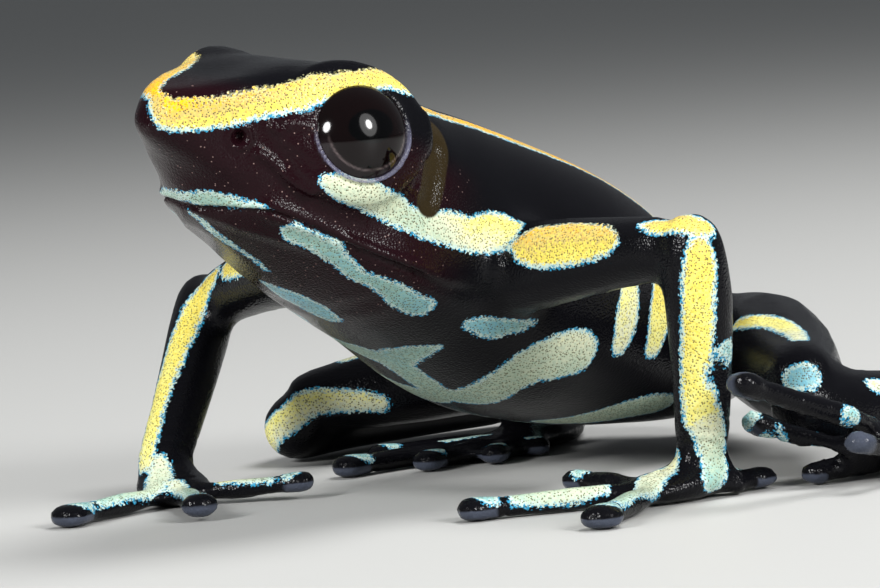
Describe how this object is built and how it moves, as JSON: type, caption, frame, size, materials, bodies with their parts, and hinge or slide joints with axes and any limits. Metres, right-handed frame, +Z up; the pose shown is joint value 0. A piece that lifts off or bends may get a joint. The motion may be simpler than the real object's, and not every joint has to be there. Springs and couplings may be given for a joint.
{
  "type": "yellow-striped poison frog",
  "caption": "Glossy black poison frog with yellow and mint stripes, sitting up on its hands with one hind foot half raised, a life-size still model",
  "frame": {"origin": "the centre of the box on the plane the frog rests on", "axes": "+Z up, the snout toward -Y, the frog's left side toward +X"},
  "size_m": [0.0262, 0.0262, 0.0136],
  "materials": {
    "striped_skin": "moist granular skin, glossy black with yellow, cream and mint stripes",
    "digit_skin": "moist black skin with mint and yellow stripes and blue-grey discs",
    "ear_disc": "thin olive-brown skin",
    "eyeball": "wet black eye with a dark brown iris"
  },
  "bodies": {
    "root": {"eye_left": "eyeball", "eye_right": "eyeball", "finger_1_left": "digit_skin", "finger_1_right": "digit_skin", "finger_2_left": "digit_skin", "finger_2_right": "digit_skin", "finger_3_left": "digit_skin", "finger_3_right": "digit_skin", "finger_4_left": "digit_skin", "finger_4_right": "digit_skin", "foot_left": "digit_skin", "foot_right": "digit_skin", "forearm_left": "striped_skin", "forearm_right": "striped_skin", "hand_left": "digit_skin", "hand_right": "digit_skin", "head": "striped_skin", "lower_jaw": "striped_skin", "shank_left": "striped_skin", "shank_right": "striped_skin", "tarsus_left": "striped_skin", "tarsus_right": "striped_skin", "thigh_left": "striped_skin", "thigh_right": "striped_skin", "toe_1_left": "digit_skin", "toe_1_right": "digit_skin", "toe_2_left": "digit_skin", "toe_2_right": "digit_skin", "toe_3_left": "digit_skin", "toe_3_right": "digit_skin", "toe_4_left": "digit_skin", "toe_4_right": "digit_skin", "toe_5_left": "digit_skin", "toe_5_right": "digit_skin", "torso": "striped_skin", "tympanum_left": "ear_disc", "tympanum_right": "ear_disc", "upper_arm_left": "striped_skin", "upper_arm_right": "striped_skin"}
  },
  "joints": []
}
